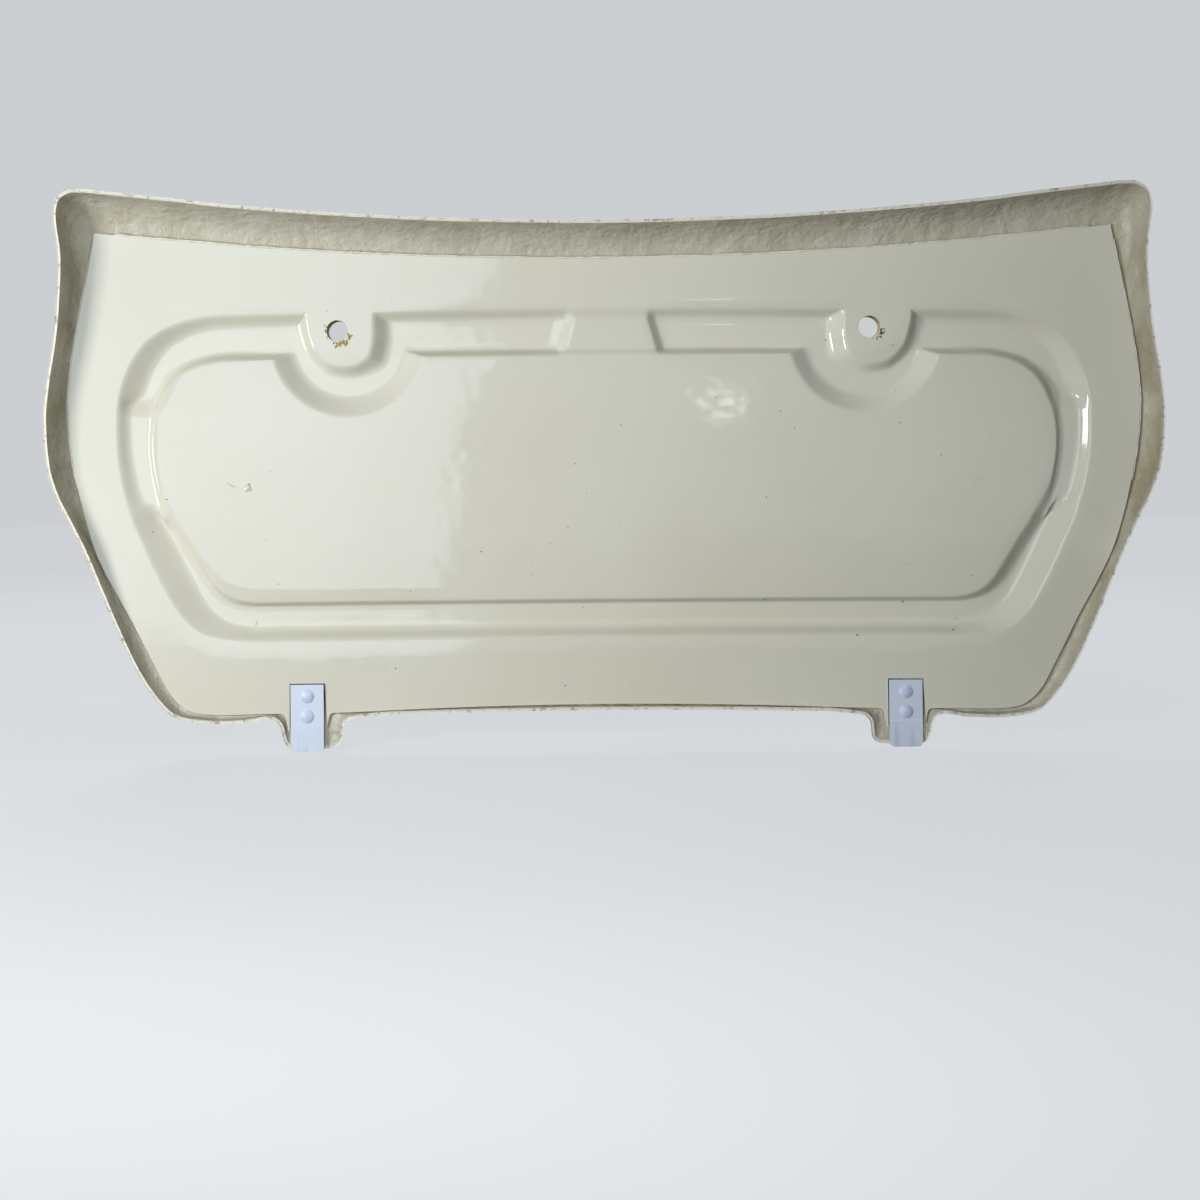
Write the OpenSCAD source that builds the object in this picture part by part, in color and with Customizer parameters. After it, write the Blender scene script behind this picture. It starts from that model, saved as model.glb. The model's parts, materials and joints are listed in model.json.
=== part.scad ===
// Moulded locker lid: an outer skin with a return flange, a bonded inner liner,
// two hinge leaves in pockets of the liner and two drilled lock holes.
// Seen from inside, hinge side down: X to the right, Y away from the viewer, Z up.
// The origin is the middle of the left hinge leaf's flat lower end, on its inner face.

/* [Overall form] */
// Half of the lid's width at its widest point
half_w = 679; // [620:1:720]
// Height of the rim's top corner over the hinge datum
rim_top_h = 672; // [630:1:700]
// Plan radius of the bowed panel
bow_r = 7000; // [4000:50:20000]
// Side-view radius of the crowned panel
crown_r = 9000; // [5000:50:30000]

/* [Outer skin] */
// Thickness of the outer skin laminate
skin_t = 4; // [3:0.5:6]
// Height of the return flange at the top corners
flange_top_h = 50; // [30:1:60]
// Height of the return flange along the hinge edge
flange_low_h = 8; // [4:1:14]
// Dip of the rim's top edge between its corners
rim_dip = 37; // [10:1:50]
// Width of the turned belly between the liner's edge and the flat of the skin, as a share
belly_share = 0.5; // [0.3:0.05:0.7]

/* [Inner liner] */
// Thickness of the liner laminate
liner_t = 3; // [2:0.5:4]
// Depth of the stiffening channel
channel_d = 15; // [8:0.5:20]
// Depth of the raised channel floor beside the plateau
step_d = 8; // [4:0.5:14]
// Depth of the bridge patch across the top channel
bridge_d = 5; // [2:0.5:10]
// Dip of the liner's top edge between its corners
liner_dip = 32.5; // [10:0.5:45]
// Half of the bridge patch's width
bridge_half = 50; // [30:1:70]
// Distance of the bridge patch from the lid's middle
bridge_x = 8; // [-20:1:20]

/* [Lock bosses] */
// Distance of each lock hole from the lid's middle
lock_x = 331; // [280:1:360]
// Height of the lock holes over the hinge datum
lock_h = 506; // [500:1:512]
// Radius of the lock holes
lock_r = 13.4; // [8:0.1:16]
// Shift of each boss and notch outline towards the right
boss_shift = 6.5; // [0:0.5:10]
// Radius of the round notch at the plateau's edge
notch_r = 93; // [84:1:100]
// Radius of the round notch at the channel's floor
notch_foot_r = 72; // [64:1:80]
// Half of the lock packer's size
packer_half = 24; // [20:1:28]

/* [Hinges] */
// Distance of each hinge leaf from the lid's middle
hinge_x = 371.5; // [350:0.5:390]
// Width of a hinge leaf
leaf_w = 41; // [34:0.5:44]
// Length of a hinge leaf
leaf_l = 83; // [78:0.5:90]
// Thickness of a hinge leaf
leaf_t = 3; // [2:0.5:4]
// Length of the flat lower end of the leaf
tongue_l = 32; // [26:0.5:34]
// How far the lower end stands forward of the riveted part
joggle = 0.8; // [0.4:0.1:1.5]
// Clearance between a leaf and its pocket
pocket_gap = 1.2; // [0.5:0.1:3]
// How much further the pocket's right side leans away at its open end
pocket_slant = 5.5; // [0:0.5:8]
// Radius of the rivet heads
rivet_head_r = 8.4; // [6:0.1:9]
// Height of the rivet heads
rivet_head_h = 3; // [2:0.1:4]
// Radius of the rivet shanks
rivet_r = 3.2; // [2.4:0.1:4]
// Distance between the two rivets of a leaf
rivet_pitch = 25; // [20:0.5:28]
// Distance of the upper rivet from the leaf's top edge
rivet_inset = 14.5; // [11:0.5:18]

/* [Bond line] */
// Width of the adhesive bead along the liner's edge
bead_w = 4; // [2:0.5:6]
// Clearance left between bonded pieces
seat_gap = 0.3; // [0.2:0.05:0.6]

/* [Hidden] */
$fn = 48;

// Each outline is a closed loop of 4 * quarter stations, clockwise from the top middle.
quarter = 34;
half = 2 * quarter;
stations = 2 * half;

// Heights over the hinge datum
mid_h = 310;
leaf_top = leaf_l - tongue_l / 2;
ear_out = 66.5;
ear_in = 48.5;
corner_x = hinge_x + ear_out;
ear_in_x = hinge_x - ear_in;
flange_w = 77;
liner_top = rim_top_h - flange_w;
liner_low = 31;
bore_reach = 100;

// The panel's inner face: bowed in plan, crowned in height, level with the leaves at the hinges
face_inset = 1;
function panel_drop(x, z) = -x * x / (2 * bow_r) - pow(z - mid_h, 2) / (2 * crown_r);
function face_y(x, z) = panel_drop(x, z) - panel_drop(hinge_x, 0) + face_inset;
function on_face(p, depth) = [p[0], face_y(p[0], p[1]) + depth, p[1]];

// Small helpers for outlines
function mix(a, b, f) = a + (b - a) * f;
function arc(c, r, a0, a1, n) = [for (i = [0 : n - 1])
    let (a = mix(a0, a1, i / (n - 1))) [c[0] + r * cos(a), c[1] + r * sin(a)]];
function bend(p0, p1, p2, n) = [for (i = [0 : n - 1])
    let (t = i / (n - 1)) mix(mix(p0, p1, t), mix(p1, p2, t), t)];
function slope(k, i) = (k[min(i + 1, len(k) - 1)] - k[max(i - 1, 0)])
    / (k[min(i + 1, len(k) - 1)][0] - k[max(i - 1, 0)][0]);
function hermite(a, b, ma, mb, t) = a * (1 + 2 * t) * (1 - t) * (1 - t) + ma * t * (1 - t) * (1 - t)
    + b * t * t * (3 - 2 * t) - mb * t * t * (1 - t);
function span_of(keys, s) = max([for (i = [0 : len(keys) - 2]) if (keys[i][0] <= s) i]);
function curve_at(keys, s) = let (i = span_of(keys, s), a = keys[i], b = keys[i + 1], w = b[0] - a[0],
    v = hermite(a, b, slope(keys, i) * w, slope(keys, i + 1) * w, (s - a[0]) / w)) [v[1], v[2]];
function curve(keys, s0, s1) = [for (s = [s0 : s1]) curve_at(keys, s)];
function unit(v) = v / norm(v);
function shifted(p, d) = [for (i = [0 : len(p) - 1])
    let (a = unit(p[i] - p[(i + len(p) - 1) % len(p)]), b = unit(p[(i + 1) % len(p)] - p[i]),
        m = unit(a + b)) p[i] + d * [-m[1], m[0]] / max(0.5, a * m)];
function both_halves(r, l) = concat(r, [for (i = [half - 1 : -1 : 1]) [-l[i][0], l[i][1]]]);

// The keys of the side outlines are drawn at these sizes, and stretched to the sizes set above
drawn_corner_x = 438;
drawn_half_w = 679;
drawn_rim_top_h = 672;
drawn_lock_h = 506;
side_stretch = (half_w - corner_x) / (drawn_half_w - drawn_corner_x);
function side_x(x) = corner_x + (x - drawn_corner_x) * side_stretch;
function pressed(keys) = [for (k = keys) [k[0], side_x(k[1]), k[2] * lock_h / drawn_lock_h]];
function trimmed(keys) = [for (k = keys) [k[0], side_x(k[1]), k[2] * rim_top_h / drawn_rim_top_h]];
outer_x = side_x(445);

// X of the loops' stations along the hinge edge, from the lower corner to the middle
function low_x(i) = i == 45 ? corner_x
    : i < 60 ? mix(corner_x - 18, ear_in_x, (i - 46) / 13) : mix(ear_in_x, 0, (i - 59) / 9);
function low_rise(x) = 1 - pow(min(1, x / ear_in_x), 2);

// Outlines of the pressing: the lip and the foot of each drafted wall.
// A top line is its height over the lock holes at the middle, and its fall towards the corners.
lip = 0;
foot = 1;
channel_top = [[25, 8.6], [16.5, 10]];
plateau_top = [[-31, 6], [-24, 5]];
channel_low = [122.5, 134.5];
plateau_low = [168.5, 164];
top_reach = 500;
function top_h(line, x) = lock_h + line[0] - line[1] * pow(x / top_reach, 2);
function on_line(line, xs) = [for (x = xs) [x, top_h(line, x)]];
function low_h(drawn) = drawn * lock_h / drawn_lock_h;

channel_side = [
    pressed([[24, 487, 522.5], [25, 515, 517.5], [26, 541, 508], [27, 563, 493.5], [28, 579, 473],
        [29, 590, 450], [30, 595.5, 432], [31, 598.5, 414], [32, 600, 387], [33, 599, 356], [34, 596, 328],
        [35, 589, 295], [36, 582, 272], [37, 570, 243], [38, 556, 211], [39, 541, 182], [40, 530, 163],
        [41, 517, 146], [42, 502, 133.5], [43, 484, 127], [44, 462, 124]]),
    pressed([[24, 484, 512.5], [25, 508, 507.5], [26, 530, 498], [27, 547, 484], [28, 560, 465],
        [29, 569, 446], [30, 575, 430], [31, 587, 414], [32, 589, 387], [33, 588, 358], [34, 584, 332],
        [35, 575, 300], [36, 557, 276], [37, 540, 247], [38, 525, 217], [39, 512, 191], [40, 503, 173],
        [41, 491, 157], [42, 476, 146], [43, 460, 139.5], [44, 442, 136.5]]),
];
plateau_side = [
    pressed([[24, 470, 470.5], [25, 492, 467], [26, 514, 459.5], [27, 531, 447], [28, 543, 432],
        [29, 550, 417], [30, 555, 402], [31, 558, 387], [32, 559.5, 370], [33, 559, 352], [34, 557, 335],
        [35, 551, 308], [36, 541.5, 290], [37, 526, 262], [38, 512, 241], [39, 500, 221], [40, 491, 206],
        [41, 481, 191], [42, 469, 179.5], [43, 455, 172.5], [44, 437, 169]]),
    pressed([[24, 472, 478], [25, 495, 474.5], [26, 518.5, 466.5], [27, 537, 453.5], [28, 549.5, 437],
        [29, 557, 420.5], [30, 561.5, 403.5], [31, 562.5, 388], [32, 563.5, 370], [33, 563, 351],
        [34, 561, 333], [35, 555.5, 305], [36, 549.5, 285], [37, 535, 256], [38, 521, 234],
        [39, 508.5, 214], [40, 499, 199], [41, 487.5, 184], [42, 473.5, 172.5], [43, 457, 166.5],
        [44, 438, 164]]),
];

// A lock boss: its inner and outer side about its centre, and keys of station, x and height over the hole
boss_off = 3.5;
boss_side = [[-42, 43], [-58, 51]];
boss_keys = [
    [[8, -42, -6], [10, -36, -33], [12, -14, -45.5], [13, 0, -46], [14, 14, -42], [16, 33, -23], [18, 41, 2]],
    [[8, -58, -9], [10, -50, -39], [12, -17, -54], [13, 0, -54], [14, 17, -49.5], [16, 40, -26],
        [18, 48.5, -1]],
];

// Channel's outer wall, with the lock boss reaching into it
function channel_edge(side, part) = let (line = channel_top[part], b = bridge_half + side * bridge_x,
    c = lock_x + boss_off + side * boss_shift, l = c + boss_side[part][0], r = c + boss_side[part][1],
    t = top_h(line, l)) concat(
    on_line(line, [0, b - 5, b + 8, (b + c) / 2, l - 9, l - 2]),
    [[l, t - 2], [l, t - 9]],
    [for (p = curve(boss_keys[part], 8, 18)) [c + p[0], lock_h + p[1]]],
    [[r - 0.8, t - 9], [r, t - 2]],
    on_line(line, [r + 2, r + 9, outer_x]),
    curve(channel_side[part], 24, 44),
    [for (i = [45 : half]) [low_x(i), low_h(channel_low[part])]]);

// Plateau's edge, with the round notch under each boss
notch_off = 9;
notch_shift = boss_shift / 2;
notch_drop = 12.5;
notch_a = 20;
notch_lead = 12;
function notch_reach(h, r) = sqrt(r * r - pow(lock_h - notch_drop - h, 2));
function notch_top(c, r, h) = let (w = notch_reach(h, r), low = notch_reach(h - 3, r),
    a = (asin((lock_h - notch_drop - h + 3) / r) + notch_a) / 2)
    [[w + notch_lead, h], [w + 2.5, h], [low, h - 3], [r * cos(a), lock_h - notch_drop - r * sin(a)]];
function plateau_edge(side, part) = let (line = plateau_top[part], b = bridge_half + side * bridge_x,
    c = lock_x - notch_off + side * notch_shift, r = part == lip ? notch_r : notch_foot_r,
    p = notch_top(c, r, top_h(line, c)), e = p[0][0]) concat(
    on_line(line, [0, b + 5, b + 18, (b + 18 + c - e) / 2]),
    [for (i = [0 : 3]) [c - p[i][0], p[i][1]]],
    arc([c, lock_h - notch_drop], r, 180 + notch_a, 360 - notch_a, 11),
    [for (i = [3 : -1 : 0]) [c + p[i][0], p[i][1]]],
    on_line(line, [(c + e + side_x(470)) / 2]),
    curve(plateau_side[part], 24, 44),
    [for (i = [45 : half]) [min(low_x(i), corner_x - 8 - (i - 45) * 6), low_h(plateau_low[part])]]);

// Stations of the outer loops follow the channel's along the top, spread evenly over each boss
boss_first = 6;
boss_last = 20;
function top_x(i, c) = i < boss_first || i > boss_last ? c[i][0]
    : mix(c[boss_first][0], c[boss_last][0], (i - boss_first) / (boss_last - boss_first));
function top_line(c, mid, dip, reach) = [for (i = [0 : 23])
    [top_x(i, c), mid + dip * pow(top_x(i, c) / reach, 2)]];
liner_reach = side_x(625);
rim_reach = side_x(490);
rim_corner_drop = 11;

// Liner's trimmed edge, with a tongue either side of each hinge leaf
function liner_side() = curve(trimmed([[24, 470, 613.5], [26, 570, 622], [28, 625, 627.5], [29, 634, 580],
    [31, 650, 500], [32, 656, 462], [33, 660, 417], [34, 659, 380], [36, 649, 312], [38, 626, 228],
    [40, 585, 148], [41, 556, 90], [42, 536, 54], [43, 515, 36], [44, 486, liner_low]]), 24, 44);
function liner_tongue() = let (a = 28, b = 23.5, z = 8) concat(
    bend([hinge_x + a + 6, liner_low], [hinge_x + a, liner_low], [hinge_x + a - 1, liner_low - 6], 4),
    bend([hinge_x + b + 0.5, z + 4], [hinge_x + b, z], [hinge_x + b - 2, z], 3),
    bend([hinge_x - b + 2, z], [hinge_x - b, z], [hinge_x - b - 0.5, z + 4], 3),
    bend([hinge_x - a + 1, liner_low - 6], [hinge_x - a, liner_low], [hinge_x - a - 6, liner_low], 4));
function liner_low_line(i0) = [for (i = [i0 : half]) [low_x(i), liner_low + 7 * low_rise(low_x(i))]];
function liner_edge(side) = concat(top_line(channel_edge(side, lip), liner_top, liner_dip, liner_reach),
    liner_side(), [[corner_x, liner_low]], liner_tongue(), liner_low_line(60));
function plain_edge(side) = concat(top_line(channel_edge(side, lip), liner_top, liner_dip, liner_reach),
    liner_side(), liner_low_line(45));

// Skin's rim, waisted at the sides, with an ear round each hinge leaf
rim_low = 26;
ear_low = -13;
ear_gap = 1.8;
function rim_side() = curve(trimmed([[24, 510, 661], [25, 560, 666], [26, 605, 670.5],
    [27, 635, drawn_rim_top_h], [28, 653, 662], [29, 658.5, 641], [30, 655, 593], [31, 659, 534],
    [32, 665, 488], [33, 673.5, 443], [34, drawn_half_w, 396], [35, 676.5, 340], [36, 668, 306],
    [38, 637, 238], [40, 603, 150], [41, 578, 92], [42, 555, 54], [43, 531, 30], [44, 489, 21.5]]), 24, 44);
function rim_ear() = concat(
    bend([hinge_x + 48, rim_low], [hinge_x + 34, rim_low], [hinge_x + 31.5, 12], 4),
    bend([hinge_x + 28.5, ear_low + 9], [hinge_x + 25, ear_low], [hinge_x + 15, ear_low], 3),
    bend([hinge_x - 22, ear_low], [hinge_x - 38, ear_low], [hinge_x - 41.5, ear_low + 9], 3),
    bend([hinge_x - 44, 11], [hinge_x - 45, rim_low - 5], [hinge_x - 54, rim_low - 1.5], 4));
rim_out = 1.06;
rim_in = 0.97;
rim_rise = 4;
function rim_edge(side) = let (c = channel_edge(side, lip)) concat(
    [for (p = top_line(c, rim_top_h - rim_dip, rim_dip - rim_corner_drop, rim_reach)) [p[0] * rim_out, p[1]]],
    rim_side(), [[corner_x + 8, rim_low - 4]], rim_ear(),
    [for (i = [60 : half]) [low_x(i) * rim_in, rim_low + 2 + rim_rise * low_rise(low_x(i))]]);
function rim_depth(z) = z < rim_low
    ? mix(leaf_t + ear_gap, -flange_low_h, (z - ear_low) / (rim_low - ear_low))
    : -mix(flange_low_h, flange_top_h, (z - rim_low) / (rim_top_h - rim_low));

// Closed loops
channel_loops = [for (part = [lip, foot]) both_halves(channel_edge(1, part), channel_edge(-1, part))];
plateau_loops = [for (part = [lip, foot]) both_halves(plateau_edge(1, part), plateau_edge(-1, part))];
liner_loop = both_halves(liner_edge(1), liner_edge(-1));
plain_loop = both_halves(plain_edge(1), plain_edge(-1));
rim_loop = both_halves(rim_edge(1), rim_edge(-1));
function station(j) = j <= half ? j : stations - j;
function on_boss(i) = i >= 4 && i <= 22;

// Surfaces: rows of loops from the edge inwards, closed by a spine across the middle
function raised(loop, depth) = [for (p = loop) on_face(p, depth)];
function raised_by(loop, depths) = [for (j = [0 : stations - 1]) on_face(loop[j], depths[j])];
function blended(a, b, f) = [for (j = [0 : len(a) - 1]) mix(a[j], b[j], f)];
function spine_slot(j) = let (i = station(j), s = i <= quarter ? i : half - i)
    j > half && s > 0 ? quarter + s : s;
function spine_points(loop, depth) = [for (side = [1, -1]) for (i = [side > 0 ? 0 : 1 : quarter])
    let (a = loop[side > 0 ? i : (stations - i) % stations], b = loop[side > 0 ? half - i : half + i])
    on_face([spine_share * (a[0] + b[0]) / 2, spine_h], depth)];
spine_share = 0.8;
spine_h = 310;
function normal_at(rows, k, j) = let (last = len(rows) - 1,
    u = rows[k][(j + 1) % stations] - rows[k][(j + stations - 1) % stations],
    v = rows[min(k + 1, last)][j] - rows[max(k - 1, 0)][j]) unit(cross(u, v));
function thickened(rows, t) = [for (k = [0 : len(rows) - 1])
    [for (j = [0 : stations - 1]) rows[k][j] + t * normal_at(rows, k, j)]];
function moved_back(points, t) = [for (p = points) p + [0, t, 0]];

// Triangles between two neighbouring loops, seen clockwise from the inner side of the lid
function quad(q, flip) = flip ? [[q[0], q[2], q[1]], [q[0], q[3], q[2]]]
    : [[q[0], q[1], q[2]], [q[0], q[2], q[3]]];
function strip(a, b, flip) = [for (j = [0 : stations - 1]) let (n = (j + 1) % stations)
    each quad([a + j, a + n, b + n, b + j], flip)];
function spine_strip(a, b, flip) = [for (j = [0 : stations - 1]) let (n = (j + 1) % stations)
    each quad([a + j, a + n, b + spine_slot(n), b + spine_slot(j)], flip)];
function sheet_faces(rows, base, flip) = concat(
    [for (k = [0 : rows - 2]) each strip(base + k * stations, base + (k + 1) * stations, flip)],
    spine_strip(base + (rows - 1) * stations, base + rows * stations, flip));

// A closed shell between an inner and an outer set of rows, each with its spine
module shell(inner, inner_spine, outer, outer_spine) {
    n = len(inner);
    back = n * stations + len(inner_spine);
    polyhedron(points = concat([for (r = inner) each r], inner_spine, [for (r = outer) each r], outer_spine),
        faces = concat(sheet_faces(n, 0, false), sheet_faces(n, back, true), strip(back, 0, false)));
}

// Channel floor: shallow under the bridge patch and beside the plateau's ends
function floor_depth(i) = i <= 1 ? bridge_d : i >= 31 && i <= 35 ? step_d : channel_d;
floor_depths = [for (j = [0 : stations - 1]) floor_depth(station(j))];
function share(depths, f) = [for (d = depths) d * f];

// Rows of a drafted wall from its lip to its foot: place across the wall, and share of the depth
wall_steps = [[0, 0], [0.2, 0.1], [0.8, 0.9], [1, 1]];
function wall_rows(loops) = [for (w = wall_steps)
    raised_by(blended(loops[lip], loops[foot], w[0]), share(floor_depths, w[1]))];

// Liner's front surface, from its trimmed edge to the plateau
inner_x = 0.95;
inner_f = 0.5;
function inward(loop, depth) = [for (p = loop) on_face([p[0] * inner_x, mix(p[1], spine_h, inner_f)], depth)];
liner_rows = concat(
    [raised(liner_loop, 0)],
    wall_rows(channel_loops),
    [for (k = [3 : -1 : 0]) wall_rows(plateau_loops)[k]],
    [inward(plateau_loops[lip], 0)]);
liner_spine = spine_points(plateau_loops[lip], 0);

// Skin's inner surface: return flange, turned belly and flat
skin_d = channel_d + liner_t + seat_gap;
edge_gap = 1;
belly_over = 24;
belly_plain = [for (j = [0 : stations - 1]) let (p = channel_loops[lip][j])
    on_boss(station(j)) ? [p[0], lock_h + belly_over] : p];
belly_loop = blended(plain_loop, belly_plain, belly_share);
rim_depths = [for (p = rim_loop) rim_depth(p[1])];
rim_inner = raised_by(shifted(rim_loop, -skin_t), rim_depths);
flange_foot = raised(shifted(liner_loop, edge_gap), liner_t + 1.5);
function belly_row(f, depth) = raised(blended(plain_loop, belly_loop, f), depth);
// Steps of the flange's cove, steep at the rim and shallow beside the liner: place across it, and depth share
cove_steps = [[0.06, 0.3], [0.22, 0.62], [0.5, 0.86]];
function cove_row(step) = [for (j = [0 : stations - 1]) let (a = rim_inner[j], b = flange_foot[j])
    [mix(a[0], b[0], step[0]), mix(a[1], b[1], step[1]), mix(a[2], b[2], step[0])]];
skin_rows = [
    rim_inner,
    for (step = cove_steps) cove_row(step),
    flange_foot,
    belly_row(0.12, mix(liner_t, skin_d, 0.45)),
    belly_row(0.45, mix(liner_t, skin_d, 0.85)),
    raised(belly_loop, skin_d),
    inward(belly_loop, skin_d),
];
skin_spine = spine_points(belly_loop, skin_d);
skin_back = thickened(skin_rows, skin_t);
skin_outer = concat([raised_by(rim_loop, rim_depths)], [for (k = [1 : len(skin_back) - 1]) skin_back[k]]);

// The lid is modelled about its middle, and stands with the left leaf on the origin
module placed() {
    translate([hinge_x, 0, 0])
        children();
}

module lock_holes() {
    for (s = [-1, 1])
        translate([s * lock_x, 0, lock_h])
            rotate([90, 0, 0])
                cylinder(r = lock_r, h = 2 * bore_reach, center = true);
}

module outer_skin() {
    color("whitesmoke")
        placed()
            difference() {
                shell(skin_rows, skin_spine, skin_outer, moved_back(skin_spine, skin_t));
                lock_holes();
            }
}

// Pockets for the leaves, open downwards, whose right side leans away from the leaf
module leaf_pockets() {
    w = leaf_w / 2 + pocket_gap;
    top = leaf_top + pocket_gap;
    for (s = [-1, 1])
        translate([s * hinge_x, bore_reach, 0])
            rotate([90, 0, 0])
                linear_extrude(2 * bore_reach)
                    polygon([[-w, top], [w, top], [w + pocket_slant, -leaf_l], [-w, -leaf_l]]);
}

module inner_liner() {
    color("ivory")
        placed()
            difference() {
                shell(liner_rows, liner_spine, [for (r = liner_rows) moved_back(r, liner_t)],
                    moved_back(liner_spine, liner_t));
                lock_holes();
                leaf_pockets();
            }
}

// A flat plate with a stepped lower end and rounded lower corners, drilled for its rivets
upper_rivet_h = leaf_top - rivet_inset;
lower_rivet_h = upper_rivet_h - rivet_pitch;
rivet_clear = 0.1;
leaf_corner = 6;
module hinge_leaf() {
    t = leaf_t;
    e = tongue_l / 2;
    s = joggle;
    difference() {
        intersection() {
            translate([-leaf_w / 2, 0, 0])
                rotate([90, 0, 90])
                    linear_extrude(leaf_w)
                        polygon([[0, -e], [0, e], [s, e + 2 * s], [s, leaf_top], [s + t, leaf_top],
                            [s + t, e + s], [t, e - s], [t, -e]]);
            translate([0, 20, 0])
                rotate([90, 0, 0])
                    linear_extrude(40) {
                        translate([-leaf_w / 2, leaf_corner - e])
                            square([leaf_w, leaf_l]);
                        translate([leaf_corner - leaf_w / 2, -e])
                            square([leaf_w - 2 * leaf_corner, leaf_l]);
                        for (c = [-1, 1])
                            translate([c * (leaf_w / 2 - leaf_corner), leaf_corner - e])
                                circle(r = leaf_corner);
                    }
        }
        for (h = [lower_rivet_h, upper_rivet_h])
            rivet_hole(h);
    }
}

module rivet_hole(h) {
    translate([0, 0, h])
        rotate([90, 0, 0])
            cylinder(r = rivet_r + rivet_clear, h = 2 * bore_reach, center = true);
}

// A rivet with a low dome head, whose shank ends blind in the packer
module rivet(h, shank) {
    r = rivet_head_r;
    d = rivet_head_h;
    rim = 0.6;
    ball = (r * r + pow(d - rim, 2)) / (2 * (d - rim));
    translate([0, joggle, h])
        rotate([90, 0, 0]) {
            cylinder(r = r, h = rim);
            translate([0, 0, rim])
                intersection() {
                    translate([0, 0, d - rim - ball])
                        sphere(r = ball);
                    cylinder(r = r, h = d);
                }
            translate([0, 0, -shank])
                cylinder(r = rivet_r, h = shank + rim / 2);
        }
}

// Depth of the skin's inner face behind the leaves, at a height
hinge_station = 52;
foot_row = 1 + len(cove_steps);
function skin_depth(z) = lookup(z, [for (k = [foot_row : foot_row + 3]) let (p = skin_rows[k][hinge_station])
    [p[2], p[1] - face_y(p[0], p[2])]]);

// Packing block between a leaf's riveted part and the skin, whose back follows the skin
packer_half_w = 14;
packer_inset = 3;
module hinge_packer(side) {
    low = tongue_l / 2 + 4;
    high = leaf_top - packer_inset;
    cuts = [for (k = [foot_row + 1, foot_row + 2]) skin_rows[k][hinge_station][2]];
    zs = concat([low], [for (z = cuts) if (z > low + 1 && z < high - 1) z], [high]);
    n = len(zs);
    points = [for (z = zs) for (x = [-packer_half_w, packer_half_w]) for (back = [false, true])
        [x, back ? face_y(side * hinge_x + x, z) + skin_depth(z) - seat_gap : joggle + leaf_t, z]];
    difference() {
        polyhedron(points = points, faces = concat(quad([0, 1, 3, 2], true),
            quad([4 * n - 4, 4 * n - 2, 4 * n - 1, 4 * n - 3], true),
            [for (i = [0 : n - 2]) for (e = [[0, 1], [1, 3], [3, 2], [2, 0]])
                each quad([4 * i + e[0], 4 * i + 4 + e[0], 4 * i + 4 + e[1], 4 * i + e[1]], true)]));
        for (h = [lower_rivet_h, upper_rivet_h])
            rivet_hole(h);
    }
}

// Packing block behind a lock boss, drilled right through with it
module lock_packer(side) {
    k = packer_half;
    front = liner_t + seat_gap;
    back = skin_d - seat_gap;
    p = [for (d = [front, back]) for (q = [[-k, -k], [k, -k], [k, k], [-k, k]])
        on_face([side * lock_x + q[0], lock_h + q[1]], d)];
    difference() {
        polyhedron(points = p, faces = [[0, 3, 2, 1], [4, 5, 6, 7], [0, 1, 5, 4], [1, 2, 6, 5],
            [2, 3, 7, 6], [3, 0, 4, 7]]);
        lock_holes();
    }
}

// Adhesive bead in the groove between the liner's edge and the return flange, clear of both
bead_clear = 0.8;
bead_off = 1;
bead_edge = raised(shifted(liner_loop, seat_gap), 0);
function bead_section(j) = let (a = flange_foot[j], e = unit(skin_rows[foot_row - 1][j] - a),
    lift = [0, -bead_clear, 0]) [bead_edge[j], a + bead_off * e + lift, a + (bead_off + bead_w) * e + lift];
module bead(js) {
    n = len(js);
    polyhedron(points = [for (j = js) each bead_section(j)],
        faces = concat([[0, 1, 2], [3 * n - 1, 3 * n - 2, 3 * n - 3]],
            [for (i = [0 : n - 2]) for (k = [0 : 2]) let (m = (k + 1) % 3)
                each quad([3 * i + m, 3 * i + k, 3 * i + 3 + k, 3 * i + 3 + m], false)]));
}
bead_end = 27;
bead_side_end = 36;

module hinge_leaf_left() {
    color("aliceblue")
        hinge_leaf();
}

module hinge_leaf_right() {
    color("aliceblue")
        translate([2 * hinge_x, 0, 0])
            hinge_leaf();
}

upper_shank = 9;
lower_shank = 5;
module rivet_left_upper() {
    color("lavender")
        rivet(upper_rivet_h, upper_shank);
}

module rivet_left_lower() {
    color("lavender")
        rivet(lower_rivet_h, lower_shank);
}

module rivet_right_upper() {
    color("lavender")
        translate([2 * hinge_x, 0, 0])
            rivet(upper_rivet_h, upper_shank);
}

module rivet_right_lower() {
    color("lavender")
        translate([2 * hinge_x, 0, 0])
            rivet(lower_rivet_h, lower_shank);
}

module hinge_packer_left() {
    color("tan")
        hinge_packer(-1);
}

module hinge_packer_right() {
    color("tan")
        translate([2 * hinge_x, 0, 0])
            hinge_packer(1);
}

module lock_packer_left() {
    color("khaki")
        placed()
            lock_packer(-1);
}

module lock_packer_right() {
    color("khaki")
        placed()
            lock_packer(1);
}

module bead_top() {
    color("oldlace")
        placed()
            bead([for (j = [-bead_end : bead_end]) (j + stations) % stations]);
}

module bead_left() {
    color("oldlace")
        placed()
            bead([for (j = [bead_side_end : -1 : bead_end + 2]) stations - j]);
}

module bead_right() {
    color("oldlace")
        placed()
            bead([for (j = [bead_end + 2 : bead_side_end]) j]);
}

outer_skin();
inner_liner();
hinge_leaf_left();
hinge_leaf_right();
rivet_left_upper();
rivet_left_lower();
rivet_right_upper();
rivet_right_lower();
hinge_packer_left();
hinge_packer_right();
lock_packer_left();
lock_packer_right();
bead_top();
bead_left();
bead_right();
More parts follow.
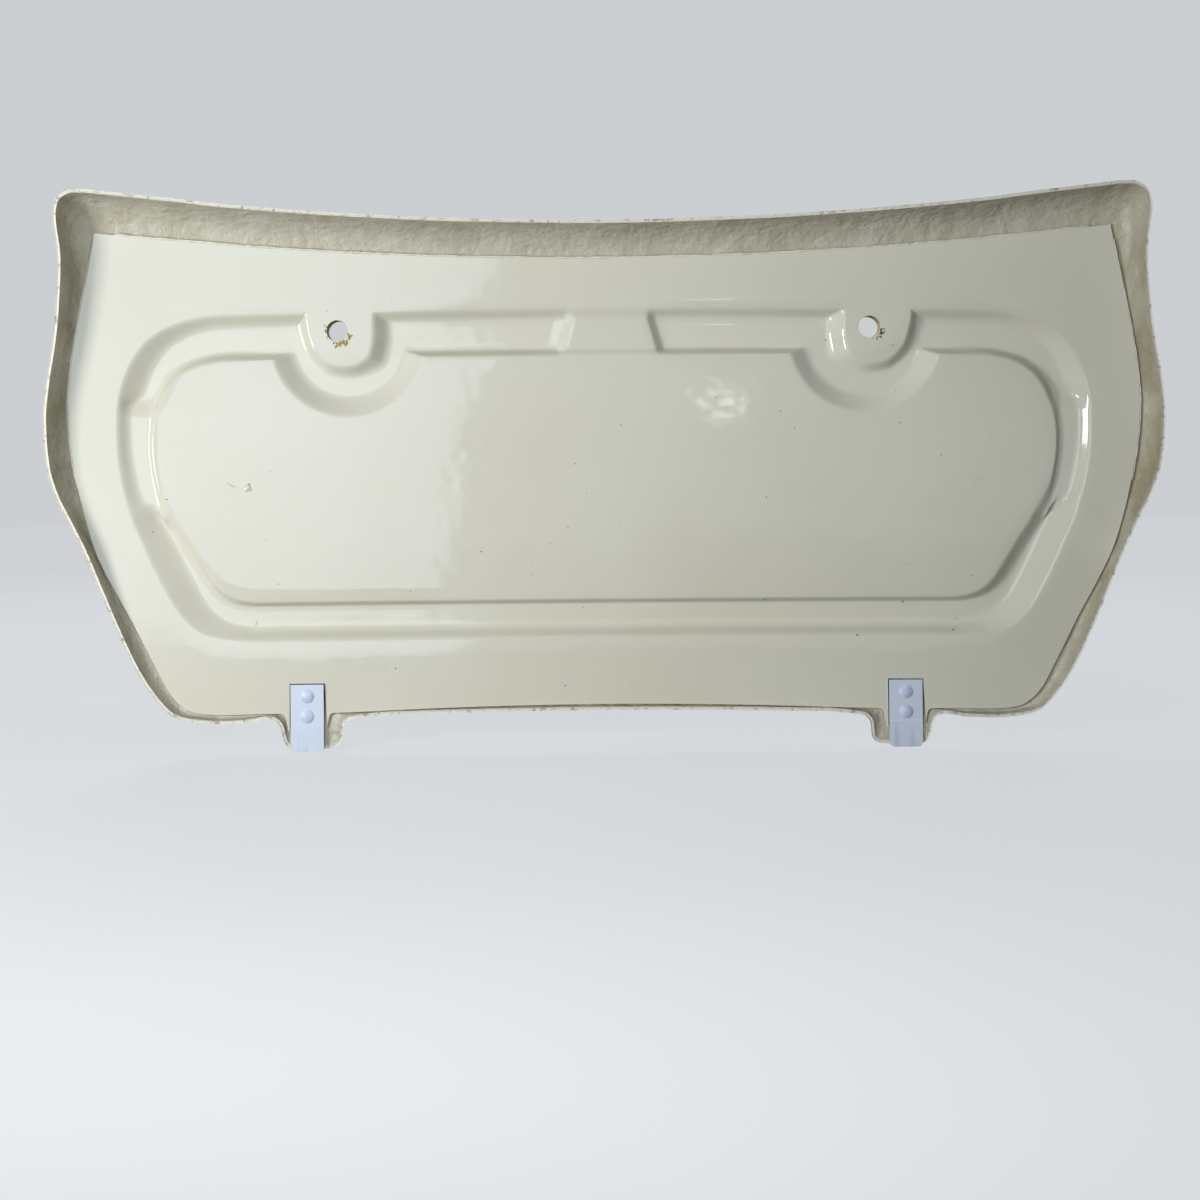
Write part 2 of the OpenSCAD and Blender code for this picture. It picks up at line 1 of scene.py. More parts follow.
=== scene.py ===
"""Looks of a moulded caravan locker lid, seen from inside with its hinge side down.

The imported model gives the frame: positions, sizes and lock holes. The moulded shells are rebuilt here as
smooth surfaces lofted from the same outlines as the solids, then dressed with procedural materials.
Outlines are in millimetres about the lid's middle, and meshes are in metres in the row's frame.
"""

import json
import math
import random

import bmesh
import bpy
import numpy as np
from mathutils import Matrix, Vector, noise


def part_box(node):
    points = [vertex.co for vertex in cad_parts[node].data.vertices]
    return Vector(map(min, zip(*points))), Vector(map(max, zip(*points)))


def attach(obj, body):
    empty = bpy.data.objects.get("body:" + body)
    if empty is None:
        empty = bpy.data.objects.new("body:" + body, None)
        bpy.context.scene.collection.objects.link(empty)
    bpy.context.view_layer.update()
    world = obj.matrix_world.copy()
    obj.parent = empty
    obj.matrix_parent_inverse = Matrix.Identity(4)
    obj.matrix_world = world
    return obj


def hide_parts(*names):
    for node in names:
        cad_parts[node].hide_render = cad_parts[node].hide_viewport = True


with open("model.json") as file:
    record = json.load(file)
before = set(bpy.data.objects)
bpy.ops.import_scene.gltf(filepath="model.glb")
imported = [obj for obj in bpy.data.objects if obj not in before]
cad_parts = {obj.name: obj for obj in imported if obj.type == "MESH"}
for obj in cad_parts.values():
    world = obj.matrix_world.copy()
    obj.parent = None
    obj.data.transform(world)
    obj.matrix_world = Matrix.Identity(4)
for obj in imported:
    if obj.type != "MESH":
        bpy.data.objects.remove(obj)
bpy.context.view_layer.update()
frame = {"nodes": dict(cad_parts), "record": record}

# Sizes read from the frame, in millimetres
MM = 0.001
BODY = "root"
MOUNTS = {m["name"]: m for m in frame["record"]["mounts"]}


def node_box(name):
    low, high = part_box(name)
    return np.array(low) / MM, np.array(high) / MM


LEAF_LOW, LEAF_HIGH = node_box("hinge_leaf_left")
SKIN_LOW, SKIN_HIGH = node_box("outer_skin")
HINGE_X = MOUNTS["hinge_face_right"]["pos_m"][0] / MM / 2
LEAF_HALF_W = (LEAF_HIGH[0] - LEAF_LOW[0]) / 2
LEAF_TOP = LEAF_HIGH[2]
HALF_W = (SKIN_HIGH[0] - SKIN_LOW[0]) / 2
RIM_TOP_H = SKIN_HIGH[2]
LOCK_X = MOUNTS["lock_hole_right"]["pos_m"][0] / MM - HINGE_X
LOCK_H = MOUNTS["lock_hole_right"]["pos_m"][2] / MM
LOCK_R = MOUNTS["lock_hole_right"]["dims"]["r_mm"]

# Panel form: bowed in plan, crowned in height, level with the leaves at the hinges
BOW_R = 7000
CROWN_R = 9000
MID_H = 310
FACE_INSET = 1


def panel_drop(x, z):
    return -x * x / (2 * BOW_R) - (z - MID_H) ** 2 / (2 * CROWN_R)


def face_y(x, z):
    return panel_drop(x, z) - panel_drop(HINGE_X, 0) + FACE_INSET


# Each outline is a closed loop of coarse stations, clockwise from the top middle, then made finer
QUARTER = 34
HALF = 2 * QUARTER
STATIONS = 2 * HALF
FINE = 8
POINTS = STATIONS * FINE


def mix(a, b, f):
    return a + (b - a) * f


def arc(cx, cz, r, a0, a1, n):
    turn = np.radians(np.linspace(a0, a1, n))
    return list(zip(cx + r * np.cos(turn), cz + r * np.sin(turn)))


def bend(p0, p1, p2, n):
    p0, p1, p2 = map(np.array, (p0, p1, p2))
    return [tuple((1 - t) ** 2 * p0 + 2 * t * (1 - t) * p1 + t * t * p2) for t in np.linspace(0, 1, n)]


def hermite(a, b, ma, mb, t):
    return (a * (1 + 2 * t) * (1 - t) ** 2 + ma * t * (1 - t) ** 2
            + b * t * t * (3 - 2 * t) - mb * t * t * (1 - t))


def curve(keys, first, last):
    """Smooth line through keys of station, x and z, at every station from first to last."""
    keys = np.array(keys, float)
    s = keys[:, 0]
    n = len(s)
    up = np.minimum(np.arange(n) + 1, n - 1)
    down = np.maximum(np.arange(n) - 1, 0)
    slope = (keys[up] - keys[down]) / (s[up] - s[down])[:, None]
    points = []
    for station in range(first, last + 1):
        i = max(j for j in range(n - 1) if s[j] <= station)
        w = s[i + 1] - s[i]
        at = hermite(keys[i], keys[i + 1], slope[i] * w, slope[i + 1] * w, (station - s[i]) / w)
        points.append((at[1], at[2]))
    return points


def finer(loop, corners=()):
    """A closed loop with FINE points a station, smooth through its stations apart from sharp corners."""
    p = np.array(loop, float)
    ahead = np.roll(p, -1, axis=0)
    span = np.maximum(np.linalg.norm(ahead - p, axis=1), 1e-6)
    behind = np.roll(span, 1)
    slope = (ahead - np.roll(p, 1, axis=0)) / (span + behind)[:, None]
    straight = (ahead - p) / span[:, None]
    arriving = slope.copy()
    for corner in corners:
        for i in (corner, STATIONS - corner):
            slope[i] = straight[i]
            arriving[i] = straight[i - 1]
    after = np.roll(arriving, -1, axis=0)
    t = (np.arange(FINE) / FINE)[None, :, None]
    w = span[:, None, None]
    fine = hermite(p[:, None], ahead[:, None], slope[:, None] * w, after[:, None] * w, t)
    return fine.reshape(-1, p.shape[1])


def both_halves(right, left):
    return right + [(-x, z) for x, z in left[HALF - 1:0:-1]]


def station_of(j):
    return j if j <= HALF else STATIONS - j


# Outlines of the moulding: the lip and the foot of each drafted wall
BRIDGE_HALF = 50
BRIDGE_SHIFT = 8
BOSS_SHIFT = 6.5
BOSS_X = 334.5
NOTCH_X = 322
NOTCH_SHIFT = 3
NOTCH_H = 493.5
NOTCH_R = {"lip": 93, "foot": 72}
NOTCH_ANGLE = 20
TOP = {"channel_lip": (531, 8.6), "channel_foot": (522.5, 10), "plateau_foot": (482, 5),
       "plateau_lip": (475, 6)}
TOP_REACH = 500
LOW = {"channel_lip": 122.5, "channel_foot": 134.5, "plateau_foot": 164, "plateau_lip": 168.5}
BOSS = {
    "lip": (-42, 43, [[8, -42, 500], [10, -36, 473], [12, -14, 460.5], [13, 0, 460], [14, 14, 464],
                      [16, 33, 483], [18, 41, 508]]),
    "foot": (-58, 51, [[8, -58, 497], [10, -50, 467], [12, -17, 452], [13, 0, 452], [14, 17, 456.5],
                       [16, 40, 480], [18, 48.5, 505]]),
}
SIDE = {
    "channel_lip": [[24, 487, 522.5], [25, 515, 517.5], [26, 541, 508], [27, 563, 493.5], [28, 579, 473],
                    [29, 590, 450], [30, 595.5, 432], [31, 598.5, 414], [32, 600, 387], [33, 599, 356],
                    [34, 596, 328], [35, 589, 295], [36, 582, 272], [37, 570, 243], [38, 556, 211],
                    [39, 541, 182], [40, 530, 163], [41, 517, 146], [42, 502, 133.5], [43, 484, 127],
                    [44, 462, 124]],
    "channel_foot": [[24, 484, 512.5], [25, 508, 507.5], [26, 530, 498], [27, 547, 484], [28, 560, 465],
                     [29, 569, 446], [30, 575, 430], [31, 587, 414], [32, 589, 387], [33, 588, 358],
                     [34, 584, 332], [35, 575, 300], [36, 557, 276], [37, 540, 247], [38, 525, 217],
                     [39, 512, 191], [40, 503, 173], [41, 491, 157], [42, 476, 146], [43, 460, 139.5],
                     [44, 442, 136.5]],
    "plateau_foot": [[24, 472, 478], [25, 495, 474.5], [26, 518.5, 466.5], [27, 537, 453.5],
                     [28, 549.5, 437], [29, 557, 420.5], [30, 561.5, 403.5], [31, 562.5, 388],
                     [32, 563.5, 370], [33, 563, 351], [34, 561, 333], [35, 555.5, 305], [36, 549.5, 285],
                     [37, 535, 256], [38, 521, 234], [39, 508.5, 214], [40, 499, 199], [41, 487.5, 184],
                     [42, 473.5, 172.5], [43, 457, 166.5], [44, 438, 164]],
    "plateau_lip": [[24, 470, 470.5], [25, 492, 467], [26, 514, 459.5], [27, 531, 447], [28, 543, 432],
                    [29, 550, 417], [30, 555, 402], [31, 558, 387], [32, 559.5, 370], [33, 559, 352],
                    [34, 557, 335], [35, 551, 308], [36, 541.5, 290], [37, 526, 262], [38, 512, 241],
                    [39, 500, 221], [40, 491, 206], [41, 481, 191], [42, 469, 179.5], [43, 455, 172.5],
                    [44, 437, 169]],
}


def top_h(name, x):
    middle, fall = TOP[name]
    return middle - fall * (x / TOP_REACH) ** 2


LOW_START = 438
LOW_BEND = 420
LOW_STRAIGHT = 323


def low_x(i):
    """Place of a station on the lower line, closer together beside the hinges than in the middle."""
    if i == 45:
        return LOW_START
    if i < 60:
        return mix(LOW_BEND, LOW_STRAIGHT, (i - 46) / 13)
    return LOW_STRAIGHT * (1 - (i - 59) / 9)


def on_top(name, xs):
    return [(x, top_h(name, x)) for x in xs]


def channel_half(side, part):
    """Half of the channel's outer wall, with the lock boss reaching into it."""
    name = "channel_" + part
    inner, outer, keys = BOSS[part]
    b = BRIDGE_HALF + side * BRIDGE_SHIFT
    c = BOSS_X + side * BOSS_SHIFT
    u = [(c + x, z) for x, z in curve(keys, 8, 18)]
    left, right = c + inner, c + outer
    top = top_h(name, left)
    return (on_top(name, [0, b - 5, b + 8, (b + c) / 2, left - 9, left - 2])
            + [(left, top - 2), (left, top - 9)] + u
            + [(right - 0.8, top - 9), (right, top - 2)] + on_top(name, [right + 2, right + 9, 445])
            + curve(SIDE[name], 24, 44) + [(low_x(i), LOW[name]) for i in range(45, HALF + 1)])


def plateau_half(side, part):
    """Half of the plateau's edge, with the round notch under the lock boss."""
    name = "plateau_" + part
    b = BRIDGE_HALF + side * BRIDGE_SHIFT
    c = NOTCH_X + side * NOTCH_SHIFT
    r = NOTCH_R[part]
    top = top_h(name, c)
    reach = math.sqrt(r * r - (NOTCH_H - top) ** 2)
    low_reach = math.sqrt(r * r - (NOTCH_H - top + 3) ** 2)
    turn = (math.degrees(math.asin((NOTCH_H - top + 3) / r)) + NOTCH_ANGLE) / 2
    edge_x, edge_z = r * math.cos(math.radians(turn)), r * math.sin(math.radians(turn))
    left = [(c - low_reach, top - 3), (c - edge_x, NOTCH_H - edge_z)]
    right = [(c + edge_x, NOTCH_H - edge_z), (c + low_reach, top - 3)]
    start = b + 18
    return (on_top(name, [0, b + 5, start, (start + c - reach) / 2, c - reach - 12, c - reach - 2.5])
            + left + arc(c, NOTCH_H, r, 180 + NOTCH_ANGLE, 360 - NOTCH_ANGLE, 11) + right
            + on_top(name, [c + reach + 2.5, c + reach + 12, (c + reach + 12 + 470) / 2])
            + curve(SIDE[name], 24, 44)
            + [(min(low_x(i), 430 - (i - 45) * 6), LOW[name]) for i in range(45, HALF + 1)])


# Outlines of the liner's trimmed edge and of the skin's rim
LINER_TOP = 595
LINER_DIP = 32.5
LINER_LOW = 31
LINER_RISE = 7
RIM_DIP = 37
RIM_LOW = 26
EAR_LOW = -13
EAR_GAP = 1.8
LEAF_T = 3
FLANGE_TOP_H = 50
FLANGE_LOW_H = 8
BOSS_FIRST = 6
BOSS_LAST = 20
TOP_STATIONS = 24


def top_x(i, c):
    """Stations of the outer loops follow the channel's, spread evenly over each boss."""
    if BOSS_FIRST <= i <= BOSS_LAST:
        share = (i - BOSS_FIRST) / (BOSS_LAST - BOSS_FIRST)
        return c[BOSS_FIRST][0] + (c[BOSS_LAST][0] - c[BOSS_FIRST][0]) * share
    return c[i][0]


def top_line(c, mid, dip, reach):
    xs = [top_x(i, c) for i in range(TOP_STATIONS)]
    return [(x, mid + dip * (x / reach) ** 2) for x in xs]


LINER_CORNER = 28
LINER_REACH = 625
TONGUE_HALF_W = 28
TONGUE_FOOT_HALF_W = 23.5
TONGUE_LOW = 8


def liner_side():
    top = curve([[24, 470, 613.5], [26, 570, 622], [28, LINER_REACH, 627.5]], 24, LINER_CORNER)
    side = curve([[28, LINER_REACH, 627.5], [29, 634, 580], [31, 650, 500], [32, 656, 462], [33, 660, 417],
                  [34, 659, 380], [36, 649, 312], [38, 626, 228], [40, 585, 148], [41, 556, 90],
                  [42, 536, 54], [43, 515, 36], [44, 486, LINER_LOW]], LINER_CORNER, 44)
    return top + side[1:]


def liner_tongue():
    """The liner's tongue beside a leaf, wider at its root than at its foot."""
    a, b, z, x = TONGUE_HALF_W, TONGUE_FOOT_HALF_W, TONGUE_LOW, HINGE_X
    return (bend((x + a + 6, LINER_LOW), (x + a, LINER_LOW), (x + a - 1, LINER_LOW - 6), 4)
            + bend((x + b + 0.5, z + 4), (x + b, z), (x + b - 2, z), 3)
            + bend((x - b + 2, z), (x - b, z), (x - b - 0.5, z + 4), 3)
            + bend((x - a + 1, LINER_LOW - 6), (x - a, LINER_LOW), (x - a - 6, LINER_LOW), 4))


def low_rise(x):
    return 1 - min(1, x / LOW_STRAIGHT) ** 2


def liner_low_line(first):
    return [(low_x(i), LINER_LOW + LINER_RISE * low_rise(low_x(i))) for i in range(first, HALF + 1)]


def liner_half(side, tongue=True):
    top = top_line(channel_half(side, "lip"), LINER_TOP, LINER_DIP, LINER_REACH)
    if tongue:
        low = [(LOW_START, LINER_LOW)] + liner_tongue() + liner_low_line(60)
    else:
        low = liner_low_line(45)
    return top + liner_side() + low


RIM_REACH = 490
RIM_TOP_FALL = 26
RIM_WIDER = 1.06
RIM_LOW_SHARE = 0.97


def rim_side():
    return curve([[24, 510, 661], [25, 560, 666], [26, 605, 670.5], [27, 635, RIM_TOP_H], [28, 653, 662],
                  [29, 658.5, 641], [30, 655, 593], [31, 659, 534], [32, 665, 488], [33, 673.5, 443],
                  [34, HALF_W, 396], [35, 676.5, 340], [36, 668, 306], [38, 637, 238], [40, 603, 150],
                  [41, 578, 92], [42, 555, 54], [43, 531, 30], [44, 489, 21.5]], 24, 44)


def rim_ear():
    x = HINGE_X
    return (bend((x + 48, RIM_LOW), (x + 34, RIM_LOW), (x + 31.5, 12), 4)
            + bend((x + 28.5, EAR_LOW + 9), (x + 25, EAR_LOW), (x + 15, EAR_LOW), 3)
            + bend((x - 22, EAR_LOW), (x - 38, EAR_LOW), (x - 41.5, EAR_LOW + 9), 3)
            + bend((x - 44, 11), (x - 45, RIM_LOW - 5), (x - 54, RIM_LOW - 1.5), 4))


def rim_half(side):
    top = top_line(channel_half(side, "lip"), RIM_TOP_H - RIM_DIP, RIM_TOP_FALL, RIM_REACH)
    low = [(low_x(i) * RIM_LOW_SHARE, RIM_LOW + 2 + 4 * low_rise(low_x(i))) for i in range(60, HALF + 1)]
    return [(x * RIM_WIDER, z) for x, z in top] + rim_side() + [(446, RIM_LOW - 4)] + rim_ear() + low


def rim_depth(z):
    ear = LEAF_T + EAR_GAP - (FLANGE_LOW_H + LEAF_T + EAR_GAP) * (z - EAR_LOW) / (RIM_LOW - EAR_LOW)
    side = -(FLANGE_LOW_H + (FLANGE_TOP_H - FLANGE_LOW_H) * (z - RIM_LOW) / (RIM_TOP_H - RIM_LOW))
    return np.where(z < RIM_LOW, ear, side)


def closed(half_of, *args, corners=()):
    return finer(both_halves(half_of(1, *args), half_of(-1, *args)), corners)


CHANNEL_LIP = closed(channel_half, "lip")
CHANNEL_FOOT = closed(channel_half, "foot")
PLATEAU_FOOT = closed(plateau_half, "foot")
PLATEAU_LIP = closed(plateau_half, "lip")
LINER_EDGE = closed(liner_half, corners=(LINER_CORNER,))
PLAIN_EDGE = closed(liner_half, False, corners=(LINER_CORNER,))
RIM = np.clip(closed(rim_half), (-HALF_W, EAR_LOW), (HALF_W, RIM_TOP_H))


# Surfaces from rows of points
def shifted(loop, d):
    """The loop moved outwards by d, along its own normals."""
    along = np.roll(loop, -1, axis=0) - np.roll(loop, 1, axis=0)
    along /= np.maximum(np.linalg.norm(along, axis=1), 1e-9)[:, None]
    return loop + d * np.stack([-along[:, 1], along[:, 0]], axis=1)


def raised(loop, depth):
    return np.stack([loop[:, 0], face_y(loop[:, 0], loop[:, 1]) + depth, loop[:, 1]], axis=1)


SPINE_H = 310
SPINE_END = 0.2


def spine(loop):
    """The middle line that a loop closes on, one point for each of the loop's points."""
    j = np.arange(POINTS)
    across = (POINTS // 2 - j) % POINTS
    i = np.minimum(np.minimum(j, POINTS - j), np.abs(POINTS // 2 - j)) / (QUARTER * FINE)
    x = (loop[:, 0] + loop[across, 0]) / 2 * (1 - SPINE_END * i * i)
    return np.stack([x, np.full(POINTS, SPINE_H)], axis=1)


def smooth(t):
    t = np.clip(t, 0, 1)
    return t * t * (3 - 2 * t)


def normals(rows):
    """Unit normals of a grid of rows, pointing away from the viewer."""
    u = np.roll(rows, -1, axis=1) - np.roll(rows, 1, axis=1)
    v = np.gradient(rows, axis=0)
    n = np.cross(u, v)
    return n / np.maximum(np.linalg.norm(n, axis=2), 1e-9)[:, :, None]


def grid_faces(rows, base, flip):
    j = np.arange(POINTS)
    k = np.roll(j, -1)
    faces = []
    for row in range(rows - 1):
        a, b = base + row * POINTS, base + (row + 1) * POINTS
        quad = [a + j, a + k, b + k, b + j]
        faces.append(np.stack(quad[::-1] if flip else quad, axis=1))
    return np.concatenate(faces)


def ring_faces(a, b):
    j = np.arange(POINTS)
    k = np.roll(j, -1)
    return np.stack([a + j, a + k, b + k, b + j], axis=1)


def place(points):
    """Millimetres about the lid's middle to metres in the row's frame."""
    return (np.asarray(points) + [HINGE_X, 0, 0]) * MM


def add_object(name, data):
    obj = bpy.data.objects.new(name, data)
    bpy.context.scene.collection.objects.link(obj)
    return obj


def bm_object(name, bm):
    mesh = bpy.data.meshes.new(name)
    bm.to_mesh(mesh)
    bm.free()
    return add_object(name, mesh)


def facing_out(mesh, weld=0.0):
    """Turn a closed mesh's faces outwards, after joining points nearer than weld."""
    bm = bmesh.new()
    bm.from_mesh(mesh)
    if weld:
        bmesh.ops.remove_doubles(bm, verts=bm.verts, dist=weld)
    bmesh.ops.recalc_face_normals(bm, faces=bm.faces)
    bm.to_mesh(mesh)
    bm.free()


WELD = 2e-6


def shell_object(name, front, back, slots):
    """A closed shell between front and back rows, closed on its spine; slots paint each band of faces."""
    n, m = len(front), len(back)
    points = np.concatenate([front.reshape(-1, 3), back.reshape(-1, 3)])
    start = n * POINTS
    faces = np.concatenate([grid_faces(n, 0, False), grid_faces(m, start, True), ring_faces(start, 0)])
    mesh = bpy.data.meshes.new(name)
    mesh.from_pydata(place(points).tolist(), [], faces.tolist())
    mesh.polygons.foreach_set("material_index", np.repeat(slots, POINTS).astype(np.int32))
    facing_out(mesh, WELD)
    return add_object(name, mesh)


def cut(obj, cutter):
    modifier = obj.modifiers.new("cut", "BOOLEAN")
    modifier.operation = "DIFFERENCE"
    modifier.solver = "EXACT"
    modifier.object = cutter
    bpy.context.view_layer.update()
    graph = bpy.context.evaluated_depsgraph_get()
    mesh = bpy.data.meshes.new_from_object(obj.evaluated_get(graph))
    obj.modifiers.clear()
    obj.data = mesh
    bpy.data.objects.remove(cutter)


DRILL_SIDES = 96
DRILL_LENGTH = 200


def lock_cutter():
    """Two drills, one through each lock hole."""
    bm = bmesh.new()
    turn = Vector((0, 0, 1)).rotation_difference(Vector((0, 1, 0))).to_matrix()
    for s in (-1, 1):
        made = bmesh.ops.create_cone(bm, segments=DRILL_SIDES, radius1=LOCK_R * MM, radius2=LOCK_R * MM,
                                     depth=DRILL_LENGTH * MM, cap_ends=True)
        bmesh.ops.rotate(bm, verts=made["verts"], cent=(0, 0, 0), matrix=turn)
        bmesh.ops.translate(bm, verts=made["verts"], vec=((HINGE_X + s * LOCK_X) * MM, 0, LOCK_H * MM))
    return bm_object("lock_cutter", bm)


POCKET_GAP = 1.2
POCKET_SLANT = 5.5
POCKET_LOW = -40
POCKET_HALF_D = 30


def pocket_cutter():
    """The liner's pockets for the leaves, whose right side leans away from the leaf."""
    bm = bmesh.new()
    top = LEAF_TOP + POCKET_GAP
    for x in (0, 2 * HINGE_X):
        left, right = x - LEAF_HALF_W - POCKET_GAP, x + LEAF_HALF_W + POCKET_GAP
        outline = [(left, top), (right, top), (right + POCKET_SLANT, POCKET_LOW), (left, POCKET_LOW)]
        rings = [[bm.verts.new((px * MM, y * MM, pz * MM)) for px, pz in outline]
                 for y in (-POCKET_HALF_D, POCKET_HALF_D)]
        bm.faces.new(rings[0][::-1])
        bm.faces.new(rings[1])
        for i in range(4):
            j = (i + 1) % 4
            bm.faces.new((rings[0][i], rings[0][j], rings[1][j], rings[1][i]))
    bmesh.ops.recalc_face_normals(bm, faces=bm.faces)
    return bm_object("pocket_cutter", bm)


# Material slots of the shells
GELCOAT_SLOT = 0
FLOWCOAT_SLOT = 1
LAMINATE_SLOT = 2

# Inner liner
LINER_T = 3
CHANNEL_D = 15
STEP_D = 8
BRIDGE_D = 5
STEP_TOP = 412
STEP_LOW = (545, 272, 0.6)
LIP_SOFT = 3.5
FOOT_SOFT = 5.5
SOFT_MOST = 0.46
# Distance in from the trimmed edge and depth there, steps across a round, and shares across flat bands
EDGE_FLAT = 0.8
EDGE_ROUND = ((0, 0.9), (0.25, 0.3), (EDGE_FLAT, 0), (1.3, 0), (2.2, 0))
ROUND_STEPS = (-1, -0.6, -0.25, 0.1, 0.5, 1)
BORDER_SHARES = (0.25, 0.5, 0.72)
FLOOR_SHARES = (0.25, 0.5, 0.75)
MIDDLE_SHARES = (0.12, 0.3, 0.55, 0.8, 1)
BACK_ROWS = (0, 2, 4, 6, 8, 11, 14, 17, 20, 22, 24, 27, 30, 33, 36, 38, 40, -1)


def bridge_share(j):
    """Share of the bridge patch at each point along the top, with a short ramp to the channel."""
    coarse = np.array([1.0 if station_of(i) <= 1 else 0.0 for i in range(STATIONS)])
    ramp = smooth(np.arange(FINE) / FINE)
    share = coarse[:, None] + (np.roll(coarse, -1) - coarse)[:, None] * ramp[None, :]
    return share.reshape(-1)[j]


def floor_depths(loop):
    """Depth of the channel's floor, shallow under the bridge patch and beside the plateau's ends."""
    x, z = np.abs(loop[:, 0]), loop[:, 1]
    at, low, slant = STEP_LOW
    step = smooth((STEP_TOP + 13 - z) / 26) * smooth((z - low - slant * (x - at)) / 11 + 0.5) * (x > 500)
    depth = CHANNEL_D - (CHANNEL_D - STEP_D) * step
    return depth + (BRIDGE_D - depth) * bridge_share(np.arange(POINTS))


def wall_rows(lip, foot):
    """A drafted wall from lip to foot, straight between a round lip and a round foot."""
    width = np.maximum(np.linalg.norm(foot - lip, axis=1), 1)
    top = np.minimum(LIP_SOFT / width, SOFT_MOST)
    low = np.minimum(FOOT_SOFT / width, SOFT_MOST)
    across = [(k * top, top * (k + 1) ** 2 / 4) for k in ROUND_STEPS]
    across.append(((top + 1 - low) / 2, (top + 1 - low) / 2))
    across += [(1 + k * low, 1 + k * low - low * (k + 1) ** 2 / 4) for k in ROUND_STEPS]
    depths = floor_depths(foot)
    return [raised(mix(lip, foot, u[:, None]), depths * share) for u, share in across]


def liner_front():
    """Rows of the face that shows, from the trimmed edge over the channel to the plateau's middle."""
    rows = [raised(shifted(LINER_EDGE, -d), depth) for d, depth in EDGE_ROUND]
    inner = shifted(LINER_EDGE, -EDGE_FLAT)
    rows += [raised(mix(inner, CHANNEL_LIP, f), 0) for f in BORDER_SHARES]
    outer_wall = wall_rows(CHANNEL_LIP, CHANNEL_FOOT)
    inner_wall = wall_rows(PLATEAU_LIP, PLATEAU_FOOT)
    low_a, low_b = outer_wall[-1][:, [0, 2]], inner_wall[-1][:, [0, 2]]
    floor = [mix(low_a, low_b, f) for f in FLOOR_SHARES]
    rows += outer_wall + [raised(row, floor_depths(row)) for row in floor] + inner_wall[::-1]
    middle = spine(PLATEAU_LIP)
    start = inner_wall[0][:, [0, 2]]
    rows += [raised(mix(start, middle, f), 0) for f in MIDDLE_SHARES]
    return np.array(rows)


def make_liner():
    """The inner moulding, whose hidden back follows fewer rows."""
    front = liner_front()
    back = front[list(BACK_ROWS)] + [0, LINER_T, 0]
    return shell_object("liner_moulding", front, back, [GELCOAT_SLOT] * (len(front) + len(back) - 1))


# Outer skin
SKIN_T = 4
SEAT_GAP = 0.3
SKIN_D = CHANNEL_D + LINER_T + SEAT_GAP
EDGE_GAP = 1
BELLY_SHARE = 0.5
BELLY_TOP = 530
# Share of the way and share of the depth, first over the belly's shoulder, then over the cove
BELLY_SHOULDER = ((0.12, 0.45), (0.25, 0.66), (0.45, 0.85), (0.7, 0.96), (1, 1))
BELLY_SHARES = (0.1, 0.4, 0.7, 1)
COVE = [(0, 0), (0.02, 0.13), (0.06, 0.3), (0.12, 0.46), (0.22, 0.62), (0.34, 0.75), (0.5, 0.86),
        (0.68, 0.93), (0.86, 0.98), (1, 1)]
# Share across the cut edge and how far it stands in there, then how uneven the flange and the edge are
LAMINATE_EDGE = ((0.85, 0.05), (0.72, 0.35), (0.6, 0.7), (0.45, 0.4), (0.15, 0.05))
LAY_UP = 0.8
RAGGED = 0.6


def belly_half(side):
    """The channel's outline with a plain top, without the bosses."""
    c = channel_half(side, "lip")
    return [(x, BELLY_TOP) if 4 <= i <= 22 else (x, z) for i, (x, z) in enumerate(c)]


def lumps(points, size, seed):
    """Smooth random heights from -1 to 1 at points, for uneven hand-laid surfaces."""
    return np.array([noise.noise(Vector(p) / size + Vector((seed, 0, 0))) for p in points.tolist()])


def skin_rows():
    """Rows of the skin's inner face, from the rim over the cove and the belly to the middle."""
    rim_in = raised(shifted(RIM, -SKIN_T), rim_depth(RIM[:, 1]))
    foot = raised(shifted(LINER_EDGE, EDGE_GAP), LINER_T + 1.5)
    rows = [rim_in + (foot - rim_in) * np.array([p, d, p]) for p, d in COVE]
    belly = mix(PLAIN_EDGE, closed(belly_half), BELLY_SHARE)
    for f, depth in BELLY_SHOULDER:
        rows.append(raised(mix(PLAIN_EDGE, belly, f), mix(LINER_T, SKIN_D, depth)))
    middle = spine(belly)
    rows += [raised(mix(belly, middle, f), SKIN_D) for f in BELLY_SHARES]
    return np.array(rows)


def make_skin():
    """The outer moulding, with a hand-laid flange inside and a ragged laminate edge."""
    inner = skin_rows()
    outer = inner + SKIN_T * normals(inner)
    outer[0] = raised(RIM, rim_depth(RIM[:, 1]))
    outer[-1] = inner[-1] + [0, SKIN_T, 0]
    flange = len(COVE) - 1
    rough = np.array([lumps(inner[k], 16, 5) + 0.6 * lumps(inner[k], 6, 9) for k in range(1, flange)])
    inner[1:flange] -= LAY_UP * rough[:, :, None] * normals(inner)[1:flange]
    ragged = RAGGED * np.abs(lumps(inner[0], 6, 3))[:, None] * np.array([0, 1, 0])
    edge = [mix(inner[0], outer[0], f) + [0, d, 0] + ragged for f, d in LAMINATE_EDGE]
    inside = [LAMINATE_SLOT] * len(edge) + [FLOWCOAT_SLOT] * (len(inner) - 1)
    outside = [GELCOAT_SLOT] * (len(outer) - 1) + [LAMINATE_SLOT]
    return shell_object("skin_moulding", np.concatenate([edge, inner]), outer, inside + outside)


# Beads of adhesive along the liner's trimmed edge
BEAD_R = {"top": 1.5, "left": 0.9, "right": 0.7}
BEAD_SIDES = 6
BEAD_SPAN = {"top": (-27, 27), "left": (-36, -28.4), "right": (28.4, 36)}


